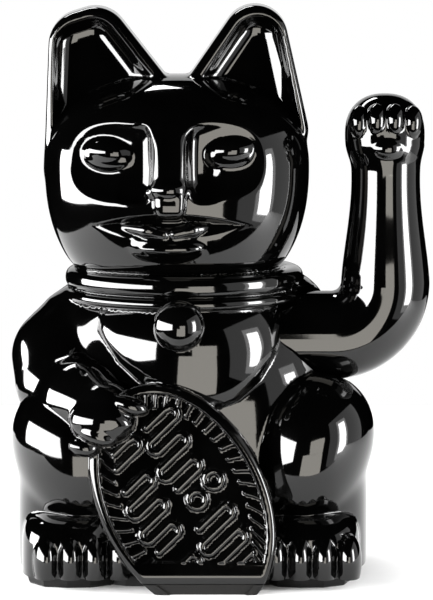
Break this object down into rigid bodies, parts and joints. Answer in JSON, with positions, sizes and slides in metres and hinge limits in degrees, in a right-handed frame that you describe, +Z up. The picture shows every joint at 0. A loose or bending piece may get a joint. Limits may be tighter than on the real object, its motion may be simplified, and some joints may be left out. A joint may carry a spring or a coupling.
{
  "type": "beckoning cat figurine",
  "caption": "Glossy black seated cat figurine holding an oval coin, with a bell collar and one raised arm that rocks to and fro on a hidden magnetic pendulum.",
  "frame": {"origin": "on the underside of the base plate, in the cat's middle plane and below its trunk", "axes": "+Z up, -Y the way the cat faces, +X the side of the swinging arm"},
  "size_m": [0.1124, 0.0774, 0.1505],
  "materials": {
    "gloss_black": "high gloss black injection moulding",
    "plain_black": "satin black injection moulding",
    "nylon": "natural nylon moulding",
    "steel": "zinc plated steel",
    "magnet": "nickel plated ferrite free magnet",
    "copper": "enamelled copper winding",
    "board": "phenolic circuit board",
    "component": "moulded component body",
    "red_insulation": "red wire insulation",
    "black_insulation": "black wire insulation",
    "cell_jacket": "plain battery jacket"
  },
  "bodies": {
    "housing": {"front_shell": "gloss_black", "back_shell": "gloss_black", "base_plate": "plain_black", "base_screw_front_left": "steel", "base_screw_front_right": "steel", "base_screw_back_left": "steel", "base_screw_back_right": "steel", "frame_screw_1": "steel", "frame_screw_2": "steel", "board_screw_1": "steel", "board_screw_2": "steel", "battery_cell": "cell_jacket", "positive_contact": "steel", "negative_contact_spring": "steel", "pendulum_frame": "nylon", "circuit_board": "board", "coil_bobbin": "nylon", "coil_winding": "copper", "transistor": "component", "capacitor": "component", "resistor": "component", "red_wire": "red_insulation", "black_wire": "black_insulation"},
    "waving_arm": {"arm_front_shell": "gloss_black", "arm_back_shell": "gloss_black", "arm_plug": "nylon", "pivot_pin": "steel", "pendulum_lever": "nylon", "magnet": "magnet"},
    "battery_door": {"battery_door": "plain_black"}
  },
  "joints": [
    {"name": "arm_swing", "type": "hinge", "parent": "housing", "child": "waving_arm", "pos_m": [0.013, -0.004, 0.0633], "axis": [1, 0, 0], "range_deg": [-20, 20]},
    {"name": "battery_hinge", "type": "hinge", "parent": "housing", "child": "battery_door", "pos_m": [0, 0.00705, 0.0012], "axis": [-1, 0, 0], "range_deg": [0, 80]}
  ]
}
